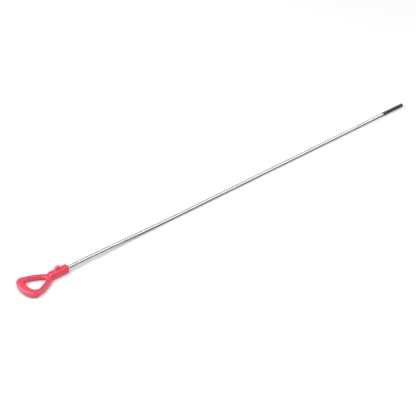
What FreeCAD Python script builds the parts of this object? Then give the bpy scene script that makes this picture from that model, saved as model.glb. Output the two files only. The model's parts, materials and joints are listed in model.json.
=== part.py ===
import FreeCAD, Part
import math
import os

# Long flexible dipstick tool, lying flat on its handle.
# Row frame: +X along the shaft towards the gauge tip, +Z up, millimetres.
# The origin is the middle of the footprint, on the surface that the tool lies on.
# s is the distance along the tool, counted from the mouth of the handle's stem.

# ---- driving dimensions
TOTAL_LENGTH = 1220.0
HANDLE_LENGTH = 120.0
REACH = TOTAL_LENGTH - HANDLE_LENGTH          # stem mouth to the nose of the gauge tip
MOUTH_X = HANDLE_LENGTH - TOTAL_LENGTH / 2

# ring of the handle
RING_THICKNESS = 12.4                         # at the base; the top slopes down towards the neck
RING_NECK_THICKNESS = 10.2
RING_EDGE_RADIUS = 4.0
BASE_BAR_WIDTH = 18.2
RING_CORNER = (-107.5, 37.0)                  # where bowed base and side would meet unrounded
RING_CORNER_RADIUS = 15.0
SIDE_BULGE = 4.5
RING_NECK = (-46.0, 9.3)                      # where the side runs into the stem
NECK_ROOT = (-37.0, 5.0)                      # end of the ring, buried in the stem
HOLE_CORNER_Y = 25.0
HOLE_CORNER_RADIUS = 10.0
HOLE_APEX_X = -46.0
HOLE_APEX_RADIUS = 10.0

# stem of the handle: flat top, flanks that flare to a waist and tuck in below it
STEM_LENGTH = 47.0
STEM_HEIGHT = 15.1
STEM_TOP_HALF_WIDTH = 6.5
STEM_WAIST_HALF_WIDTH = 9.8
STEM_WAIST_HEIGHT = 6.8
STEM_FOOT_HALF_WIDTH = 8.6
STEM_TOP_EDGE_RADIUS = 1.6
STEM_WAIST_EDGE_RADIUS = 2.0
STEM_FOOT_EDGE_RADIUS = 2.4
STEM_NOSE_PLAN_RADIUS = 7.5
STEM_NOSE_TOP_RADIUS = 3.0
STEM_NOSE_FOOT_RADIUS = 7.0

# catch lug on top of the stem
LUG_REAR_X = -29.6
LUG_LENGTH = 11.4
LUG_NEAR_Y = 0.0
LUG_FAR_Y = 6.6
LUG_REAR_HEIGHT = 5.0
LUG_FRONT_HEIGHT = 6.0
LUG_RAMP_LENGTH = 4.0
LUG_SIDE_CHAMFER = 1.2
LUG_ROOT_DEPTH = 1.5
LUG_CLEARANCE = 1.0                           # the chamfer's cutter runs past both ends of the lug

# flexible shaft: a wire coil (the sheath) round a stranded core
SHEATH_RADIUS = 3.6
COIL_WIRE = 1.5
SHEATH_BORE_RADIUS = SHEATH_RADIUS - COIL_WIRE
CORE_RADIUS = 1.25
MOUTH_AXIS_HEIGHT = 8.0
FLEX_JOINTS = 24
FIRST_PIVOT = 40.0
LAST_PIVOT = 980.0
DROOP_START = FIRST_PIVOT                     # the shaft leaves the stem level,
DROOP_END = 300.0                             # then sinks until it lies on the surface,
RISE_START = 890.0                            # and near its end climbs to the thicker tip
RISE_END = LAST_PIVOT
FLEX_GAP = 0.8                                # room for 10 degrees of turn at each pivot

# gauge tip
TIP_RADIUS = 4.5
TIP_LENGTH = 80.0
TIP_HEAD_LENGTH = 9.0
TIP_REAR_CHAMFER = 0.5
GAUGE_RADIUS = 4.1
GAUGE_TAPER_LENGTH = 1.0
NOSE_LENGTH = 5.0
NOSE_FLAT_RADIUS = 1.2
NOSE_FACETS = 5
GRADUATIONS = 12
GRADUATION_START = 1.5
GRADUATION_PITCH = 5.1
GRADUATION_DEPTH = 0.3
GRADUATION_WIDTH = 0.7

# crimp ferrule between shaft and tip
FERRULE_RADIUS = 4.0
FERRULE_LENGTH = 10.0
FERRULE_SOCKET = 6.0
FERRULE_SHANK_RADIUS = 2.7
FERRULE_SHANK_LENGTH = 12.0
FERRULE_BARBS = 3
BARB_HEIGHT = 0.4
BARB_NECK_SHARE = 0.4                         # plain part of each barb's pitch
CORE_PASSAGE_RADIUS = 1.4

# steel insert and cable nipples that are moulded into the plastic
INSERT_RADIUS = 4.7
INSERT_LENGTH = 26.0
INSERT_RECESS = 0.6
NIPPLE_RADIUS = 3.0
NIPPLE_LENGTH = 7.0
LOWER_NIPPLE_RADIUS = 2.7
LOWER_NIPPLE_LENGTH = 5.0

FERRULE_START = REACH - TIP_LENGTH - FERRULE_LENGTH
X_AXIS = FreeCAD.Vector(1, 0, 0)
Y_AXIS = FreeCAD.Vector(0, 1, 0)
Z_AXIS = FreeCAD.Vector(0, 0, 1)


def at(s, y, z):
    """Point of the row frame at distance s from the stem mouth."""
    return FreeCAD.Vector(MOUTH_X + s, y, z)


def ease(t):
    """Smooth step from 0 to 1 with level ends."""
    t = min(1.0, max(0.0, t))
    return t * t * (3 - 2 * t)


def axis_height(s):
    """Height of the shaft's axis above the surface at distance s."""
    sunk = ease((s - DROOP_START) / (DROOP_END - DROOP_START))
    risen = ease((s - RISE_START) / (RISE_END - RISE_START))
    level = MOUTH_AXIS_HEIGHT + (SHEATH_RADIUS - MOUTH_AXIS_HEIGHT) * sunk
    return level + (TIP_RADIUS - SHEATH_RADIUS) * risen


def axis_point(s):
    return at(s, 0, axis_height(s))


def round_bar(start, end, radius):
    """Solid cylinder from one point to another."""
    return Part.makeCylinder(radius, (end - start).Length, start, end - start)


def tube(start, end, outer, inner):
    return round_bar(start, end, outer).cut(round_bar(start, end, inner))


def turned(profile, height):
    """Solid of revolution about a level axis; the profile lists (s, radius)."""
    points = [at(s, 0, height + r) for s, r in profile]
    face = Part.Face(Part.makePolygon(points + [points[0]]))
    return face.revolve(at(0, 0, height), X_AXIS, 360)


def arc(start, middle, end):
    return Part.Arc(start, middle, end).toShape()


def line(start, end):
    return Part.LineSegment(start, end).toShape()


def upright_edges(solid, keep):
    """Edges parallel to Z whose foot passes the test keep(x, y)."""
    found = []
    for edge in solid.Edges:
        box = edge.BoundBox
        if box.ZLength > 1 and box.XLength < 0.01 and box.YLength < 0.01 and keep(box.XMin, box.YMin):
            found.append(edge)
    return found


def lengthwise_edges(solid, half_width, height):
    """The two edges parallel to X at the given height, one on either side."""
    found = []
    for edge in solid.Edges:
        box = edge.BoundBox
        if (box.XLength > 1 and box.YLength < 0.01 and box.ZLength < 0.01
                and abs(abs(box.YMin) - half_width) < 0.01 and abs(box.ZMin - height) < 0.01):
            found.append(edge)
    return found


def rim_edges(solid, limit_x):
    """Edges round the top and bottom faces, apart from those wholly beyond the limit."""
    return [edge for face in solid.Faces if abs(face.normalAt(0, 0).z) > 0.9
            for edge in face.Edges if edge.BoundBox.XMin < limit_x]


def ring_blank():
    """Rounded triangle with a bowed base and slightly bulging sides."""
    corner_x, corner_y = RING_CORNER
    neck_x, neck_y = RING_NECK
    root_x, root_y = NECK_ROOT
    bow_x = -HANDLE_LENGTH
    run_x, run_y = neck_x - corner_x, neck_y - corner_y
    run = math.hypot(run_x, run_y)
    middle_x = (corner_x + neck_x) / 2 - SIDE_BULGE * run_y / run
    middle_y = (corner_y + neck_y) / 2 + SIDE_BULGE * run_x / run
    edges = [
        arc(at(corner_x, corner_y, 0), at(bow_x, 0, 0), at(corner_x, -corner_y, 0)),
        arc(at(corner_x, -corner_y, 0), at(middle_x, -middle_y, 0), at(neck_x, -neck_y, 0)),
        line(at(neck_x, -neck_y, 0), at(root_x, -root_y, 0)),
        line(at(root_x, -root_y, 0), at(root_x, root_y, 0)),
        line(at(root_x, root_y, 0), at(neck_x, neck_y, 0)),
        arc(at(neck_x, neck_y, 0), at(middle_x, middle_y, 0), at(corner_x, corner_y, 0)),
    ]
    blank = Part.Face(Part.Wire(edges)).extrude(Z_AXIS * RING_THICKNESS)
    corners = upright_edges(blank, lambda x, y: abs(y) > neck_y + 1)
    return blank.makeFillet(RING_CORNER_RADIUS, corners)


def finger_hole():
    """Rounded triangular opening, its base concentric with the ring's bowed end."""
    rise = HANDLE_LENGTH + RING_CORNER[0]
    bow_radius = (RING_CORNER[1] ** 2 + rise ** 2) / (2 * rise)
    bow_centre = bow_radius - HANDLE_LENGTH
    inner_radius = bow_radius - BASE_BAR_WIDTH
    corner_x = bow_centre - math.sqrt(inner_radius ** 2 - HOLE_CORNER_Y ** 2)
    edges = [
        arc(at(corner_x, HOLE_CORNER_Y, 0), at(bow_centre - inner_radius, 0, 0),
            at(corner_x, -HOLE_CORNER_Y, 0)),
        line(at(corner_x, -HOLE_CORNER_Y, 0), at(HOLE_APEX_X, 0, 0)),
        line(at(HOLE_APEX_X, 0, 0), at(corner_x, HOLE_CORNER_Y, 0)),
    ]
    plug = Part.Face(Part.Wire(edges)).extrude(Z_AXIS * RING_THICKNESS)
    apex = upright_edges(plug, lambda x, y: abs(y) < 1)
    plug = plug.makeFillet(HOLE_APEX_RADIUS, apex)
    corners = upright_edges(plug, lambda x, y: abs(y) > HOLE_CORNER_Y - 1)
    return plug.makeFillet(HOLE_CORNER_RADIUS, corners)


def top_slope():
    """Cutter above the ring's sloping top."""
    neck_x, root_y = NECK_ROOT[0], RING_CORNER[1]
    drop = (RING_THICKNESS - RING_NECK_THICKNESS) / (HANDLE_LENGTH + neck_x)
    overrun = RING_EDGE_RADIUS
    points = [
        at(-HANDLE_LENGTH - overrun, -root_y, RING_THICKNESS + drop * overrun),
        at(neck_x + overrun, -root_y, RING_NECK_THICKNESS - drop * overrun),
        at(neck_x + overrun, -root_y, RING_THICKNESS + overrun),
        at(-HANDLE_LENGTH - overrun, -root_y, RING_THICKNESS + overrun),
    ]
    return Part.Face(Part.makePolygon(points + [points[0]])).extrude(Y_AXIS * (2 * root_y))


def ring():
    solid = ring_blank().cut(finger_hole()).cut(top_slope())
    return solid.makeFillet(RING_EDGE_RADIUS, rim_edges(solid, MOUTH_X + NECK_ROOT[0] - 1))


def stem():
    """Boxy stem with a nose that is rounded in plan and in side view."""
    section = [
        (-STEM_FOOT_HALF_WIDTH, 0), (STEM_FOOT_HALF_WIDTH, 0),
        (STEM_WAIST_HALF_WIDTH, STEM_WAIST_HEIGHT), (STEM_TOP_HALF_WIDTH, STEM_HEIGHT),
        (-STEM_TOP_HALF_WIDTH, STEM_HEIGHT), (-STEM_WAIST_HALF_WIDTH, STEM_WAIST_HEIGHT),
    ]
    points = [at(-STEM_LENGTH, y, z) for y, z in section]
    bar = Part.Face(Part.makePolygon(points + [points[0]])).extrude(X_AXIS * STEM_LENGTH)
    for half_width, height, radius in (
            (STEM_TOP_HALF_WIDTH, STEM_HEIGHT, STEM_TOP_EDGE_RADIUS),
            (STEM_WAIST_HALF_WIDTH, STEM_WAIST_HEIGHT, STEM_WAIST_EDGE_RADIUS),
            (STEM_FOOT_HALF_WIDTH, 0, STEM_FOOT_EDGE_RADIUS)):
        bar = bar.makeFillet(radius, lengthwise_edges(bar, half_width, height))

    half = STEM_WAIST_HALF_WIDTH
    plan = Part.makeBox(STEM_LENGTH, 2 * half, STEM_HEIGHT, at(-STEM_LENGTH, -half, 0))
    plan = plan.makeFillet(STEM_NOSE_PLAN_RADIUS, upright_edges(plan, lambda x, y: x > MOUTH_X - 1))
    side = Part.makeBox(STEM_LENGTH, 2 * half, STEM_HEIGHT, at(-STEM_LENGTH, -half, 0))
    nose_edges = [edge for edge in side.Edges
                  if edge.BoundBox.YLength > half and edge.BoundBox.XMin > MOUTH_X - 1]
    foot_edges = [edge for edge in nose_edges if edge.BoundBox.ZMin < 1]
    side = side.makeFillet(STEM_NOSE_FOOT_RADIUS, foot_edges)
    top_edges = [edge for edge in side.Edges
                 if edge.BoundBox.ZMin > STEM_HEIGHT - 1 and edge.BoundBox.XMin > MOUTH_X - 1]
    side = side.makeFillet(STEM_NOSE_TOP_RADIUS, top_edges)
    return bar.common(plan).common(side)


def lug():
    """Catch lug: ramped at the rear, upright at the front, chamfered towards the middle."""
    foot = STEM_HEIGHT - LUG_ROOT_DEPTH
    crest = STEM_HEIGHT + LUG_FRONT_HEIGHT
    front = LUG_REAR_X + LUG_LENGTH
    outline = [
        (LUG_REAR_X, foot), (LUG_REAR_X, STEM_HEIGHT + LUG_REAR_HEIGHT),
        (LUG_REAR_X + LUG_RAMP_LENGTH, crest), (front, crest), (front, foot),
    ]
    points = [at(s, LUG_NEAR_Y, z) for s, z in outline]
    block = Part.Face(Part.makePolygon(points + [points[0]]))
    block = block.extrude(Y_AXIS * (LUG_FAR_Y - LUG_NEAR_Y))
    wedge_start = LUG_REAR_X - LUG_CLEARANCE
    wedge_points = [
        at(wedge_start, LUG_NEAR_Y, crest - LUG_SIDE_CHAMFER),
        at(wedge_start, LUG_NEAR_Y + LUG_SIDE_CHAMFER, crest),
        at(wedge_start, LUG_NEAR_Y, crest),
    ]
    wedge = Part.Face(Part.makePolygon(wedge_points + [wedge_points[0]]))
    return block.cut(wedge.extrude(X_AXIS * (LUG_LENGTH + 2 * LUG_CLEARANCE)))


def handle():
    """One moulding: ring, stem and lug, with the pockets that it is moulded round."""
    solid = ring().fuse(stem()).fuse(lug()).removeSplitter()
    height = MOUTH_AXIS_HEIGHT
    insert_pocket = round_bar(at(-INSERT_LENGTH, 0, height), at(1, 0, height), INSERT_RADIUS)
    nipple_end = -INSERT_LENGTH - NIPPLE_LENGTH
    nipple_pocket = round_bar(at(nipple_end, 0, height), at(-INSERT_LENGTH, 0, height), NIPPLE_RADIUS)
    return solid.cut(insert_pocket).cut(nipple_pocket)


def handle_insert():
    """Knurled steel sleeve that grips the coil inside the stem."""
    height = MOUTH_AXIS_HEIGHT
    start = at(-INSERT_LENGTH, 0, height)
    end = at(-INSERT_RECESS, 0, height)
    return tube(start, end, INSERT_RADIUS, SHEATH_RADIUS)


def upper_nipple():
    height = MOUTH_AXIS_HEIGHT
    start = at(-INSERT_LENGTH - NIPPLE_LENGTH, 0, height)
    end = at(-INSERT_LENGTH, 0, height)
    return tube(start, end, NIPPLE_RADIUS, CORE_RADIUS)


def tip_ferrule():
    """Crimped collar with a barbed shank that the gauge tip is moulded onto."""
    collar_end = FERRULE_START + FERRULE_LENGTH
    profile = [(FERRULE_START, FERRULE_RADIUS), (collar_end, FERRULE_RADIUS)]
    pitch = FERRULE_SHANK_LENGTH / FERRULE_BARBS
    for barb in range(FERRULE_BARBS):
        foot = collar_end + barb * pitch
        barb_start = foot + BARB_NECK_SHARE * pitch
        profile += [(foot, FERRULE_SHANK_RADIUS), (barb_start, FERRULE_SHANK_RADIUS),
                    (barb_start, FERRULE_SHANK_RADIUS + BARB_HEIGHT),
                    (foot + pitch, FERRULE_SHANK_RADIUS)]
    shank_end = collar_end + FERRULE_SHANK_LENGTH
    web = FERRULE_START + FERRULE_SOCKET
    profile += [(shank_end, CORE_PASSAGE_RADIUS), (web, CORE_PASSAGE_RADIUS),
                (web, SHEATH_RADIUS), (FERRULE_START, SHEATH_RADIUS)]
    return turned(drop_repeats(profile), TIP_RADIUS)


def drop_repeats(profile):
    """The profile without points that repeat the one before."""
    kept = [profile[0]]
    for point in profile[1:]:
        if math.dist(point, kept[-1]) > 1e-6:
            kept.append(point)
    return kept


def lower_nipple():
    start = REACH - TIP_LENGTH + FERRULE_SHANK_LENGTH
    return tube(at(start, 0, TIP_RADIUS), at(start + LOWER_NIPPLE_LENGTH, 0, TIP_RADIUS),
                LOWER_NIPPLE_RADIUS, CORE_RADIUS)


def gauge_tip():
    """Nylon tip: guiding head, measuring length with grooves, rounded nose."""
    root = REACH - TIP_LENGTH
    gauge_start = root + TIP_HEAD_LENGTH
    profile = [(root, 0), (root, TIP_RADIUS - TIP_REAR_CHAMFER), (root + TIP_REAR_CHAMFER, TIP_RADIUS),
               (gauge_start, TIP_RADIUS), (gauge_start + GAUGE_TAPER_LENGTH, GAUGE_RADIUS)]
    for number in range(GRADUATIONS):
        middle = gauge_start + GRADUATION_START + (number + 0.5) * GRADUATION_PITCH
        profile += [(middle - GRADUATION_WIDTH / 2, GAUGE_RADIUS),
                    (middle, GAUGE_RADIUS - GRADUATION_DEPTH),
                    (middle + GRADUATION_WIDTH / 2, GAUGE_RADIUS)]
    profile += [(REACH - NOSE_LENGTH, GAUGE_RADIUS)]
    for step in range(1, NOSE_FACETS + 1):
        angle = math.pi / 2 * step / NOSE_FACETS
        radius = NOSE_FLAT_RADIUS + (GAUGE_RADIUS - NOSE_FLAT_RADIUS) * math.cos(angle)
        profile += [(REACH - NOSE_LENGTH * (1 - math.sin(angle)), radius)]
    profile += [(REACH, 0)]
    solid = turned(profile, TIP_RADIUS)
    pocket_end = root + FERRULE_SHANK_LENGTH + LOWER_NIPPLE_LENGTH
    solid = solid.cut(tip_ferrule())
    pocket = round_bar(at(root, 0, TIP_RADIUS), at(pocket_end, 0, TIP_RADIUS), LOWER_NIPPLE_RADIUS)
    return solid.cut(pocket)


def pivots():
    """Distances s of the flex pivots along the shaft."""
    pitch = (LAST_PIVOT - FIRST_PIVOT) / (FLEX_JOINTS - 1)
    return [FIRST_PIVOT + number * pitch for number in range(FLEX_JOINTS)]


def lengths(first, last):
    """Start and end points of the straight lengths between pivots, with the flex gaps left open."""
    stations = [first] + pivots() + [last]
    spans = []
    for number, (low, high) in enumerate(zip(stations, stations[1:])):
        start, end = axis_point(low), axis_point(high)
        along = (end - start).normalize()
        if number > 0:
            start = start + along * (FLEX_GAP / 2)
        if number < FLEX_JOINTS:
            end = end - along * (FLEX_GAP / 2)
        spans.append((start, end))
    return spans


def write(name, shape):
    solid = shape.Solids[0] if len(shape.Solids) == 1 else shape
    solid.exportStep("parts/" + name + ".step")
    box = solid.optimalBoundingBox()
    print(f"{name:18s} solids {len(shape.Solids)} valid {shape.isValid()} volume {shape.Volume:9.1f} "
          f"x {box.XMin:7.1f} {box.XMax:7.1f} y {box.YMin:6.1f} {box.YMax:6.1f} "
          f"z {box.ZMin:5.2f} {box.ZMax:5.2f}")


os.makedirs("parts", exist_ok=True)
write("handle", handle())
write("handle_insert", handle_insert())
write("upper_nipple", upper_nipple())
write("tip_ferrule", tip_ferrule())
write("lower_nipple", lower_nipple())
write("gauge_tip", gauge_tip())
for number, (start, end) in enumerate(lengths(-INSERT_LENGTH, FERRULE_START + FERRULE_SOCKET)):
    write(f"sheath_{number:02d}", tube(start, end, SHEATH_RADIUS, SHEATH_BORE_RADIUS))
core_first = -INSERT_LENGTH - NIPPLE_LENGTH
core_last = REACH - TIP_LENGTH + FERRULE_SHANK_LENGTH + LOWER_NIPPLE_LENGTH
for number, (start, end) in enumerate(lengths(core_first, core_last)):
    write(f"core_{number:02d}", round_bar(start, end, CORE_RADIUS))
print("pivots", [round(MOUTH_X + s, 3) for s in pivots()])
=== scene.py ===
import json
import math

import bmesh
import bpy
import numpy as np
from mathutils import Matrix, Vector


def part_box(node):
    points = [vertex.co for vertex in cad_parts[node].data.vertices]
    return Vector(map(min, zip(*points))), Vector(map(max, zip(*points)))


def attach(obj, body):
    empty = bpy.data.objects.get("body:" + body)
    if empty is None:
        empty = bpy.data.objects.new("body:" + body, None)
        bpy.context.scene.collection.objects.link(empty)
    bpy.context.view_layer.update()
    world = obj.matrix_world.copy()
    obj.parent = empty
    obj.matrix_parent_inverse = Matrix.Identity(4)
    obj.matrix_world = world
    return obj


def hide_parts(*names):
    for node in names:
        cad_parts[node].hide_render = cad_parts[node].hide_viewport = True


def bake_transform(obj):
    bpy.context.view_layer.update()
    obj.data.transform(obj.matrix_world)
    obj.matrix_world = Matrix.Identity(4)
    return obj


# Flexible dipstick tool: red finger handle, wire-coil shaft, crimp collar and black gauge tip.
# Everything is in metres in the frame's axes: +X along the shaft to the tip, +Z up, floor at z = 0.

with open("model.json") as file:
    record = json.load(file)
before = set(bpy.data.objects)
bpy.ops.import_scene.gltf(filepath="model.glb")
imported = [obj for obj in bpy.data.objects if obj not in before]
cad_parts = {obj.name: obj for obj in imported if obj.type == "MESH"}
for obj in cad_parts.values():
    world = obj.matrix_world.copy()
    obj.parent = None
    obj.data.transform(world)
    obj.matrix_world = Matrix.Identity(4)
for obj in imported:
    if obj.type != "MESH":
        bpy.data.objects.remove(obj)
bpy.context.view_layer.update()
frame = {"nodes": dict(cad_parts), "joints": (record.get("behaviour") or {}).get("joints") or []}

MM = 0.001

# ---- camera and stage
CAMERA_AT = (-1.5035, -1.6142, 1.4527)
CAMERA_PITCH = 34.42                # degrees below the horizon
CAMERA_TURN = 41.254                # degrees clockwise from looking along +Y
CAMERA_LENS = 95.2
FLOOR_SIZE = 40.0
BACKDROP_RADIUS = 19.0
BACKDROP_HEIGHT = 12.0
BACKDROP_SIDES = 48
BACKDROP_TONE = (0.50, 0.50, 0.51, 1.0)
CARD_SIZE = 0.6
CARD_HEIGHT = 0.2 * MM
CARD_MARGIN = 4 * MM                # the card stops short of the shaft
SKY_LEAN = (-0.3, -0.35, 0.85)      # direction in which the surround is brightest

# ---- handle moulding
HANDLE_VOXEL = 0.42 * MM
HANDLE_SMOOTHING = 4
WELD_DISTANCE = 0.001 * MM
SHADE_REACH = 9 * MM               # how far from an inner corner or the surface the red is darkened with painted shade
SHADE_SAMPLES = 8

# ---- wire-coil sheath
WIRE_HALF = 0.75 * MM
WIRE_SECTION = (                    # across and outwards, in half widths; the top is barely crowned
    (0.0, 1.0), (0.8, 0.97), (1.0, 0.7), (1.0, -1.0), (-1.0, -1.0), (-1.0, 0.7), (-0.8, 0.97))
TURN_STEPS = 22
SHEATH_RADIUS = 3.6 * MM

# ---- stranded core
CORE_RADIUS = 1.25 * MM
CORE_GROOVE = 0.22 * MM
CORE_STRANDS = 6
CORE_SIDES = 4 * CORE_STRANDS
CORE_LAY = 18 * MM                  # length of one full twist
CORE_STEP = 1.2 * MM

# ---- gauge tip
HEAD_LENGTH = 9 * MM
HEAD_FALL = 1.2 * MM                # length of the slope from the head down to the measuring length
GAUGE_RADIUS = 4.1 * MM
GRADUATIONS = 12
GRADUATION_START = 1.5 * MM
GRADUATION_PITCH = 5.1 * MM
GRADUATION_DEPTH = 0.3 * MM
GRADUATION_WIDTH = 0.9 * MM
NOSE_LENGTH = 5 * MM
NOSE_FLAT = 1.2 * MM
POCKET_RADIUS = 3.1 * MM
EDGE_ROUND = 0.5 * MM
CURVE_STEPS = 8
NOSE_STEPS = 12

# ---- crimp ferrule
COLLAR_LENGTH = 10 * MM
COLLAR_RADIUS = 4.0 * MM
COLLAR_SOCKET = 6 * MM
COLLAR_EDGE = 0.25 * MM
SHANK_RADIUS = 2.7 * MM
PASSAGE_RADIUS = 1.4 * MM
BARBS = 3
BARB_HEIGHT = 0.4 * MM
BARB_NECK_SHARE = 0.4               # how much of each barb's length is its neck
CRIMP_RINGS = 2
CRIMP_DEPTH = 0.18 * MM
CRIMP_WIDTH = 1.2 * MM
LATHE_STEPS = 72


# ---------------------------------------------------------------- materials

def new_material(name):
    """A node material; returns it with its node tree and its shader."""
    material = bpy.data.materials.new(name)
    material.use_nodes = True
    tree = material.node_tree
    return material, tree, tree.nodes["Principled BSDF"]


def add_node(tree, kind, **inputs):
    """A node with the named input sockets set."""
    node = tree.nodes.new(kind)
    for socket, value in inputs.items():
        node.inputs[socket.replace("_", " ")].default_value = value
    return node


def add_noise(tree, scale, detail=3.0, stretch=(1.0, 1.0, 1.0)):
    """Noise over the object's own coordinates, in features per metre; returns its value socket."""
    place = add_node(tree, "ShaderNodeTexCoord")
    scaled = add_node(tree, "ShaderNodeMapping", Scale=stretch)
    noise = add_node(tree, "ShaderNodeTexNoise", Scale=scale, Detail=detail, Roughness=0.55)
    tree.links.new(place.outputs["Object"], scaled.inputs["Vector"])
    tree.links.new(scaled.outputs["Vector"], noise.inputs["Vector"])
    return noise.outputs["Fac"]


def add_ramp(tree, source, stops):
    """Colour ramp over a value socket; stops are (position, colour)."""
    ramp = add_node(tree, "ShaderNodeValToRGB")
    elements = ramp.color_ramp.elements
    while len(elements) < len(stops):
        elements.new(0.5)
    for element, (position, colour) in zip(elements, stops):
        element.position = position
        element.color = (*colour, 1.0)
    tree.links.new(source, ramp.inputs["Fac"])
    return ramp.outputs["Color"]


def add_range(tree, source, low, high, start=0.3, end=0.7):
    """Maps a value socket from start..end to low..high."""
    node = add_node(tree, "ShaderNodeMapRange", From_Min=start, From_Max=end, To_Min=low, To_Max=high)
    tree.links.new(source, node.inputs["Value"])
    return node.outputs["Result"]


def add_mix(tree, blend, first, second, factor):
    """Mixes two colours by a factor, each of them a socket or a plain value; returns the colour socket."""
    mix = add_node(tree, "ShaderNodeMix")
    mix.data_type = "RGBA"
    mix.blend_type = blend
    for name, source in (("A", first), ("B", second), ("Factor", factor)):
        if isinstance(source, bpy.types.NodeSocket):
            tree.links.new(source, mix.inputs[name])
        else:
            mix.inputs[name].default_value = source
    return mix.outputs["Result"]


def add_bump(tree, shader, height, strength, depth):
    """Fine relief on a shader, from a value socket; depth is in metres."""
    bump = add_node(tree, "ShaderNodeBump", Strength=strength, Distance=depth)
    tree.links.new(height, bump.inputs["Height"])
    tree.links.new(bump.outputs["Normal"], shader.inputs["Normal"])


def red_moulding():
    """Glossy red injection moulding, with a painted highlight on its sharp edges and painted shade in its
    inner corners and where it comes close to the floor.
    """
    material, tree, shader = new_material("red_moulding")
    cloud = add_ramp(tree, add_noise(tree, 45.0), [
        (0.30, (0.75, 0.045, 0.092)), (0.70, (0.81, 0.059, 0.113))])
    edges = add_node(tree, "ShaderNodeNewGeometry")
    # painted highlight: the red turns paler on sharp convex edges, where light would catch them
    edge_highlight_share = add_range(tree, edges.outputs["Pointiness"], 0.0, 0.9, 0.506, 0.538)
    painted_edge_highlight = add_mix(tree, "MIX", cloud, (0.97, 0.15, 0.21, 1.0), edge_highlight_share)
    # painted shade: occlusion darkens the red towards purple in inner corners and near the floor
    corners = add_node(tree, "ShaderNodeAmbientOcclusion", Distance=SHADE_REACH)
    corners.samples = SHADE_SAMPLES
    painted_shade = add_ramp(tree, corners.outputs["AO"], [
        (0.15, (0.42, 0.14, 0.22)), (0.50, (0.86, 0.68, 0.73)), (0.75, (1.0, 1.0, 1.0))])
    red_with_painted_light = add_mix(tree, "MULTIPLY", painted_edge_highlight, painted_shade, 1.0)
    tree.links.new(red_with_painted_light, shader.inputs["Base Color"])
    tree.links.new(add_range(tree, add_noise(tree, 160.0), 0.16, 0.24), shader.inputs["Roughness"])
    shader.inputs["Specular IOR Level"].default_value = 0.55
    shader.inputs["Coat Weight"].default_value = 0.4
    shader.inputs["Coat Roughness"].default_value = 0.12
    add_bump(tree, shader, add_noise(tree, 1400.0, 2.0), 0.15, 0.05 * MM)
    return material


def coil_steel():
    """Drawn spring wire, bright on its crests, with painted shade darkening it where the turns meet."""
    material, tree, shader = new_material("coil_steel")
    depth = add_node(tree, "ShaderNodeAttribute")
    depth.attribute_name = "groove"
    # painted shade between the turns: the colour falls from bright on the crest to dark at the flanks
    turn_shade_tone = add_ramp(tree, depth.outputs["Fac"], [
        (0.0, (0.88, 0.89, 0.90)), (0.45, (0.76, 0.77, 0.78)), (1.0, (0.28, 0.28, 0.285))])
    streaks = add_ramp(tree, add_noise(tree, 120.0, 4.0, (1.0, 6.0, 6.0)), [
        (0.3, (0.86, 0.86, 0.86)), (0.7, (1.0, 1.0, 1.0))])
    drawn_marks_and_turn_shade = add_mix(tree, "MULTIPLY", turn_shade_tone, streaks, 1.0)
    tree.links.new(drawn_marks_and_turn_shade, shader.inputs["Base Color"])
    tree.links.new(add_range(tree, add_noise(tree, 500.0), 0.20, 0.32), shader.inputs["Roughness"])
    shader.inputs["Metallic"].default_value = 1.0
    return material


def plain_steel(name, light, roughness):
    """Steel or aluminium with fine marks round the axis."""
    material, tree, shader = new_material(name)
    marks = add_noise(tree, 220.0, 4.0, (30.0, 1.0, 1.0))
    tint = (0.98, 0.99, 1.0)
    colour = add_ramp(tree, marks, [
        (0.3, tuple(0.86 * light * c for c in tint)), (0.7, tuple(light * c for c in tint))])
    tree.links.new(colour, shader.inputs["Base Color"])
    tree.links.new(add_range(tree, marks, roughness - 0.06, roughness + 0.06), shader.inputs["Roughness"])
    shader.inputs["Metallic"].default_value = 1.0
    add_bump(tree, shader, marks, 0.2, 0.02 * MM)
    return material


def black_nylon():
    """Charcoal moulded nylon with a fine matt grain."""
    material, tree, shader = new_material("black_nylon")
    colour = add_ramp(tree, add_noise(tree, 140.0), [
        (0.3, (0.022, 0.022, 0.024)), (0.7, (0.040, 0.040, 0.043))])
    tree.links.new(colour, shader.inputs["Base Color"])
    tree.links.new(add_range(tree, add_noise(tree, 400.0), 0.42, 0.56), shader.inputs["Roughness"])
    add_bump(tree, shader, add_noise(tree, 2600.0, 2.0), 0.3, 0.04 * MM)
    return material


def pale_floor():
    """Matt off-white, for the floor and the card."""
    material, tree, shader = new_material("pale_floor")
    shader.inputs["Base Color"].default_value = (0.93, 0.93, 0.935, 1.0)
    shader.inputs["Roughness"].default_value = 0.9
    shader.inputs["Specular IOR Level"].default_value = 0.0
    return material


# ---------------------------------------------------------------- mesh helpers

def new_piece(name, points, faces, sharp_angle=40.0):
    """Smooth-shaded mesh object with edges sharper than the angle kept crisp."""
    mesh = bpy.data.meshes.new(name)
    mesh.from_pydata([tuple(p) for p in points], [], faces)
    mesh.validate()
    mesh.shade_smooth()
    mesh.set_sharp_from_angle(angle=math.radians(sharp_angle))
    piece = bpy.data.objects.new(name, mesh)
    bpy.context.scene.collection.objects.link(piece)
    return piece


def dress(piece, material):
    """Gives the piece one material."""
    piece.data.materials.clear()
    piece.data.materials.append(material)


def swept(name, rings, sharp_angle):
    """Closed solid through equal rings of points, with a flat cap at each end."""
    count = len(rings[0])
    faces = []
    for ring in range(len(rings) - 1):
        for side in range(count):
            after = (side + 1) % count
            faces.append((ring * count + side, ring * count + after,
                          (ring + 1) * count + after, (ring + 1) * count + side))
    last = (len(rings) - 1) * count
    faces.append(tuple(reversed(range(count))))
    faces.append(tuple(range(last, last + count)))
    return new_piece(name, np.concatenate(rings), faces, sharp_angle)


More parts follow.
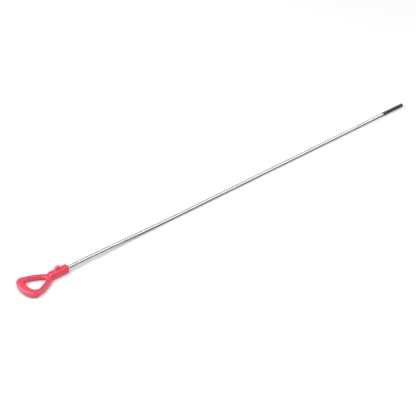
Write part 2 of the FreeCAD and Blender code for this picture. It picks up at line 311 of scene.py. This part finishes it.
def lathe(name, profile, axis_z):
    """Turned solid about the level line y = 0, z = axis_z.
    The profile lists (x, radius). It starts and ends on the axis, or is a closed loop clear of it."""
    closed = profile[0][1] > 0
    points, rows, faces = [], [], []
    for x, radius in profile:
        if radius == 0:
            rows.append([len(points)] * LATHE_STEPS)
            points.append((x, 0.0, axis_z))
            continue
        rows.append(list(range(len(points), len(points) + LATHE_STEPS)))
        for step in range(LATHE_STEPS):
            angle = 2 * math.pi * step / LATHE_STEPS
            points.append((x, radius * math.cos(angle), axis_z + radius * math.sin(angle)))
    pairs = list(zip(rows, rows[1:])) + ([(rows[-1], rows[0])] if closed else [])
    for low, high in pairs:
        for step in range(LATHE_STEPS):
            after = (step + 1) % LATHE_STEPS
            corners = [low[step], high[step], high[after], low[after]]
            faces.append(tuple(dict.fromkeys(corners)))
    return new_piece(name, points, faces)


def rounded(x, radius, run, rise, steps=5):
    """Quarter-ellipse profile points that start at (x, radius) and end at (x + run, radius + rise).
    It leaves upright and arrives level."""
    found = []
    for step in range(steps + 1):
        angle = math.pi / 2 * step / steps
        found.append((x + run * (1 - math.cos(angle)), radius + rise * math.sin(angle)))
    return found


def sunk_ring(middle, width, radius, depth):
    """Profile points of one shallow groove that runs round a turned surface."""
    found = []
    for step in range(CURVE_STEPS + 1):
        t = step / CURVE_STEPS
        dip = depth * math.sin(math.pi * t) ** 2
        found.append((middle + width * (t - 0.5), radius - dip))
    return found


# ---------------------------------------------------------------- shaft path

joints = frame["joints"]
pivots = np.array([joint["pos_m"] for joint in joints])


def path_slopes():
    """Slope of the shaft's axis at each pivot, with no overshoot between them."""
    steps = np.diff(pivots[:, 2]) / np.diff(pivots[:, 0])
    slopes = np.zeros(len(pivots))
    for number, (before, after) in enumerate(zip(steps, steps[1:]), start=1):
        if before * after > 0:
            slopes[number] = 2 * before * after / (before + after)
    return slopes


SLOPES = path_slopes()


def axis_at(x):
    """Height and slope of the shaft's axis: level outside the pivots, a smooth curve between them."""
    x = np.asarray(x, float)
    inside = np.clip(x, pivots[0, 0], pivots[-1, 0])
    span = np.clip(np.searchsorted(pivots[:, 0], inside) - 1, 0, len(pivots) - 2)
    width = pivots[span + 1, 0] - pivots[span, 0]
    t = (inside - pivots[span, 0]) / width
    z0, z1 = pivots[span, 2], pivots[span + 1, 2]
    m0, m1 = SLOPES[span] * width, SLOPES[span + 1] * width
    height = (z0 * (1 + 2 * t) * (1 - t) ** 2 + m0 * t * (1 - t) ** 2
              + z1 * t ** 2 * (3 - 2 * t) + m1 * t ** 2 * (t - 1))
    slope = (6 * t * (t - 1) * (z0 - z1) + m0 * (1 - t) * (1 - 3 * t) + m1 * t * (3 * t - 2)) / width
    return height, np.where((x < pivots[0, 0]) | (x > pivots[-1, 0]), 0.0, slope)


def around_axis(x, radius, angle):
    """Points at a radius and angle round the shaft's axis."""
    height, slope = axis_at(x)
    tilt = 1 / np.sqrt(1 + slope ** 2)
    across, up = radius * np.cos(angle), radius * np.sin(angle)
    return np.stack([x - up * slope * tilt, across, height + up * tilt], axis=-1)


def shaft_cuts(first, last):
    """Where one visual length ends and the next begins: halfway between the pivots."""
    halfway = (pivots[1:, 0] + pivots[:-1, 0]) / 2
    return [first, *halfway, last]


def bend_over(piece):
    """Bakes the piece's placement into its mesh."""
    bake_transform(piece)


# ---------------------------------------------------------------- pieces

def handle_moulding():
    """The handle with its edges softened as a mould leaves them."""
    mesh = frame["nodes"]["handle"].data.copy()
    work = bmesh.new()
    work.from_mesh(mesh)
    bmesh.ops.remove_doubles(work, verts=work.verts, dist=WELD_DISTANCE)
    work.to_mesh(mesh)
    work.free()
    source = bpy.data.objects.new("handle_source", mesh)
    bpy.context.scene.collection.objects.link(source)
    remesh = source.modifiers.new("remesh", "REMESH")
    remesh.mode = "VOXEL"
    remesh.voxel_size = HANDLE_VOXEL
    smooth = source.modifiers.new("smooth", "SMOOTH")
    smooth.factor = 0.5
    smooth.iterations = HANDLE_SMOOTHING
    bpy.context.view_layer.update()
    shown = source.evaluated_get(bpy.context.evaluated_depsgraph_get())
    result = bpy.data.meshes.new_from_object(shown)
    result.shade_smooth()
    bpy.data.objects.remove(source)
    piece = bpy.data.objects.new("handle_moulding", result)
    bpy.context.scene.collection.objects.link(piece)
    return piece


def sheath_length(name, start, end, origin):
    """One length of the close-wound coil: a flattened wire along a helix."""
    pitch = 2 * WIRE_HALF
    middle = SHEATH_RADIUS - WIRE_HALF
    steps = round((end - start) / pitch * TURN_STEPS)
    across, outwards = np.array(WIRE_SECTION).T
    along = np.linspace(start, end, steps + 1)
    turn = (along - origin) / pitch * 2 * math.pi
    x = along[:, None] + WIRE_HALF * across[None, :]
    radius = middle + WIRE_HALF * outwards[None, :] + 0 * x
    points = around_axis(x, radius, turn[:, None] + 0 * x)
    piece = swept(name, list(points), 30.0)
    # the groove attribute marks the wire's flanks, where the coil material paints shade between the turns
    groove = piece.data.attributes.new("groove", "FLOAT", "POINT")
    at_flanks = (np.abs(across) == 1).astype(np.float32)
    groove.data.foreach_set("value", np.tile(at_flanks, steps + 1))
    return piece


def core_length(name, start, end, origin):
    """One length of the stranded core: six outer wires laid in a slow twist."""
    steps = max(2, round((end - start) / CORE_STEP))
    sides = np.arange(CORE_SIDES) * 2 * math.pi / CORE_SIDES
    lobes = CORE_RADIUS - CORE_GROOVE * (1 - np.abs(np.cos(sides * CORE_STRANDS / 2)))
    along = np.linspace(start, end, steps + 1)[:, None] + 0 * sides[None, :]
    turn = sides[None, :] + (along - origin) / CORE_LAY * 2 * math.pi
    points = around_axis(along, lobes[None, :] + 0 * along, turn)
    return swept(name, list(points), 60.0)


def gauge_tip():
    """Nylon tip: rounded head, grooved measuring length, tapered nose, and the pocket for the shank."""
    low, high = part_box("gauge_tip")
    radius = (high.z - low.z) / 2
    root, end = low.x, high.x
    pocket_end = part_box("lower_nipple")[1].x
    gauge_start = root + HEAD_LENGTH
    profile = [(pocket_end, 0.0), (pocket_end, POCKET_RADIUS), (root, POCKET_RADIUS)]
    profile += rounded(root, radius - EDGE_ROUND, EDGE_ROUND, EDGE_ROUND)
    fall = radius - GAUGE_RADIUS
    for step in range(1, CURVE_STEPS + 1):
        t = step / CURVE_STEPS
        profile.append((gauge_start + HEAD_FALL * t, radius - fall * t * t * (3 - 2 * t)))
    for number in range(GRADUATIONS):
        middle = gauge_start + GRADUATION_START + (number + 0.5) * GRADUATION_PITCH
        profile += sunk_ring(middle, GRADUATION_WIDTH, GAUGE_RADIUS, GRADUATION_DEPTH)
    nose = end - NOSE_LENGTH
    for step in range(NOSE_STEPS + 1):
        angle = math.pi / 2 * step / NOSE_STEPS
        nose_radius = NOSE_FLAT + (GAUGE_RADIUS - NOSE_FLAT) * math.cos(angle)
        profile.append((nose + NOSE_LENGTH * math.sin(angle), nose_radius))
    profile.append((end, 0.0))
    return lathe("gauge_tip_moulding", profile, (high.z + low.z) / 2)


def crimp_ferrule():
    """Crimped collar on the end of the coil, with the barbed shank that holds the tip."""
    low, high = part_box("tip_ferrule")
    start, shank_end = low.x, high.x
    collar_end = start + COLLAR_LENGTH
    edge_foot = COLLAR_RADIUS - COLLAR_EDGE
    profile = [(start, SHEATH_RADIUS)] + rounded(start, edge_foot, COLLAR_EDGE, COLLAR_EDGE)
    crimp_pitch = COLLAR_SOCKET / (CRIMP_RINGS + 1)
    for number in range(CRIMP_RINGS):
        middle = start + (number + 1) * crimp_pitch
        profile += sunk_ring(middle, CRIMP_WIDTH, COLLAR_RADIUS, CRIMP_DEPTH)
    profile += reversed(rounded(collar_end, edge_foot, -COLLAR_EDGE, COLLAR_EDGE))
    pitch = (shank_end - collar_end) / BARBS
    for barb in range(BARBS):
        foot = collar_end + barb * pitch
        rise = foot + BARB_NECK_SHARE * pitch
        profile += [(foot, SHANK_RADIUS), (rise, SHANK_RADIUS), (rise, SHANK_RADIUS + BARB_HEIGHT)]
    web = start + COLLAR_SOCKET
    profile += [(shank_end, SHANK_RADIUS), (shank_end, PASSAGE_RADIUS),
                (web, PASSAGE_RADIUS), (web, SHEATH_RADIUS)]
    return lathe("tip_ferrule_turned", profile, (high.z + low.z) / 2)


# ---------------------------------------------------------------- stage

def aim(thing, target):
    """Turns a light so that it shines at the target."""
    direction = (np.array(target) - np.array(thing.location)).tolist()
    thing.rotation_euler = Vector(direction).to_track_quat("-Z", "Y").to_euler()


def softbox(name, at, target, size, power, only_gloss=False):
    """Rectangular studio light; only_gloss leaves it to reflections alone."""
    light = bpy.data.lights.new(name, "AREA")
    light.shape = "RECTANGLE"
    light.size, light.size_y = size
    light.energy = power
    lamp = bpy.data.objects.new(name, light)
    lamp.location = at
    aim(lamp, target)
    if only_gloss:
        lamp.visible_camera = False
        lamp.visible_diffuse = False
    bpy.context.scene.collection.objects.link(lamp)


def studio_world():
    """Soft surround, brightest overhead towards the front left, greyer towards the horizon."""
    world = bpy.data.worlds.new("studio")
    world.use_nodes = True
    tree = world.node_tree
    place = add_node(tree, "ShaderNodeTexCoord")
    lean = tree.nodes.new("ShaderNodeVectorMath")
    lean.operation = "DOT_PRODUCT"
    lean.inputs[1].default_value = SKY_LEAN
    tree.links.new(place.outputs["Generated"], lean.inputs[0])
    height = add_range(tree, lean.outputs["Value"], 0.0, 1.0, -0.5, 1.0)
    colour = add_ramp(tree, height, [
        (0.22, (0.08, 0.085, 0.09)), (0.37, (0.23, 0.24, 0.25)), (0.43, (0.27, 0.28, 0.29)),
        (0.63, (0.46, 0.46, 0.47)), (0.80, (0.57, 0.57, 0.57))])
    tree.links.new(colour, tree.nodes["Background"].inputs["Color"])
    tree.nodes["Background"].inputs["Strength"].default_value = 1.0
    bpy.context.scene.world = world


def studio_floor():
    """The pale surface at z = 0, left out of reflections."""
    half = FLOOR_SIZE / 2
    points = [(-half, -half, 0), (half, -half, 0), (half, half, 0), (-half, half, 0)]
    floor = new_piece("floor", points, [(0, 1, 2, 3)])
    floor.data.materials.append(pale_floor())
    floor.visible_glossy = False


def handle_card():
    """Pale card that only the glossy handle reflects, just above the floor under and round the handle."""
    end = MOUTH_X - CARD_MARGIN
    points = [(end - CARD_SIZE, -CARD_SIZE, CARD_HEIGHT), (end, -CARD_SIZE, CARD_HEIGHT),
              (end, CARD_SIZE, CARD_HEIGHT), (end - CARD_SIZE, CARD_SIZE, CARD_HEIGHT)]
    card = new_piece("handle_card", points, [(0, 1, 2, 3)])
    card.data.materials.append(pale_floor())
    card.visible_camera = False
    card.visible_diffuse = False
    card.visible_shadow = False
    card.visible_transmission = False


def studio_backdrop():
    """Pale grey wall far round the stage, which closes off the low views and lights nothing."""
    material, tree, shader = new_material("backdrop")
    shader.inputs["Base Color"].default_value = (0.0, 0.0, 0.0, 1.0)
    shader.inputs["Specular IOR Level"].default_value = 0.0
    shader.inputs["Emission Color"].default_value = BACKDROP_TONE
    shader.inputs["Emission Strength"].default_value = 1.0
    material.cycles.emission_sampling = "NONE"
    points, faces = [], []
    for side in range(BACKDROP_SIDES):
        angle = 2 * math.pi * side / BACKDROP_SIDES
        x, y = BACKDROP_RADIUS * math.cos(angle), BACKDROP_RADIUS * math.sin(angle)
        points += [(x, y, 0.0), (x, y, BACKDROP_HEIGHT)]
        after = (side + 1) % BACKDROP_SIDES
        faces.append((2 * side, 2 * after, 2 * after + 1, 2 * side + 1))
    wall = new_piece("backdrop", points, faces)
    wall.data.materials.append(material)
    wall.visible_diffuse = False
    wall.visible_glossy = False
    wall.visible_transmission = False
    wall.visible_shadow = False


def camera():
    """The photograph's camera, as fitted to the outlines of the handle and the shaft."""
    data = bpy.data.cameras.new("camera")
    data.lens = CAMERA_LENS
    data.clip_start, data.clip_end = 0.05, 100.0
    view = bpy.data.objects.new("camera", data)
    view.location = CAMERA_AT
    view.rotation_euler = (math.radians(90 - CAMERA_PITCH), 0.0, -math.radians(CAMERA_TURN))
    bpy.context.scene.collection.objects.link(view)
    bpy.context.scene.camera = view


# ---------------------------------------------------------------- build

camera()
studio_world()
studio_floor()
studio_backdrop()
softbox("key", (-0.75, 2.1, 2.4), (-0.35, 0.0, 0.0), (2.8, 2.0), 43.0)
softbox("left", (-1.75, 1.35, 1.9), (-0.5, 0.0, 0.0), (1.2, 1.0), 17.0)
softbox("top", (-1.35, -0.1, 2.1), (-0.55, 0.0, 0.0), (0.7, 0.7), 11.0)
softbox("crest", (2.9, -1.8, 1.8), (2.9, 0.0, 0.0), (5.0, 2.0), 58.0)
softbox("panel", (-4.0, 0.0, 2.6), (0.0, 0.0, 2.6), (10.0, 5.0), 140.0, only_gloss=True)
bpy.context.scene.view_settings.view_transform = "Standard"

MOUTH_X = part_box("handle")[1].x
handle_card()

red = red_moulding()
steel = coil_steel()
strand = plain_steel("strand_steel", 0.50, 0.38)
plated = plain_steel("plated_steel", 0.66, 0.30)
aluminium = plain_steel("ferrule_metal", 0.80, 0.36)
nylon = black_nylon()

handle = handle_moulding()
dress(handle, red)
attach(handle, "grip")
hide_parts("handle")

tip = gauge_tip()
dress(tip, nylon)
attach(tip, "tip")
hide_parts("gauge_tip")

ferrule = crimp_ferrule()
dress(ferrule, aluminium)
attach(ferrule, "tip")
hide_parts("tip_ferrule")

for node in ("handle_insert", "upper_nipple", "lower_nipple"):
    carried = frame["nodes"][node]
    carried.data.materials.clear()
    carried.data.materials.append(plated)

for family, maker, material, slot in (
        ("sheath", sheath_length, steel, "coil_steel"),
        ("core", core_length, strand, "strand_steel")):
    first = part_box(f"{family}_00")[0].x
    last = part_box(f"{family}_{len(joints):02d}")[1].x
    cuts = shaft_cuts(first, last)
    for number, joint in enumerate(joints):
        piece = maker(f"{family}_run_{number + 1:02d}", cuts[number], cuts[number + 1], first)
        dress(piece, material)
        bend_over(piece)
        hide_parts(f"{family}_{number:02d}")
    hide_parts(f"{family}_{len(joints):02d}")
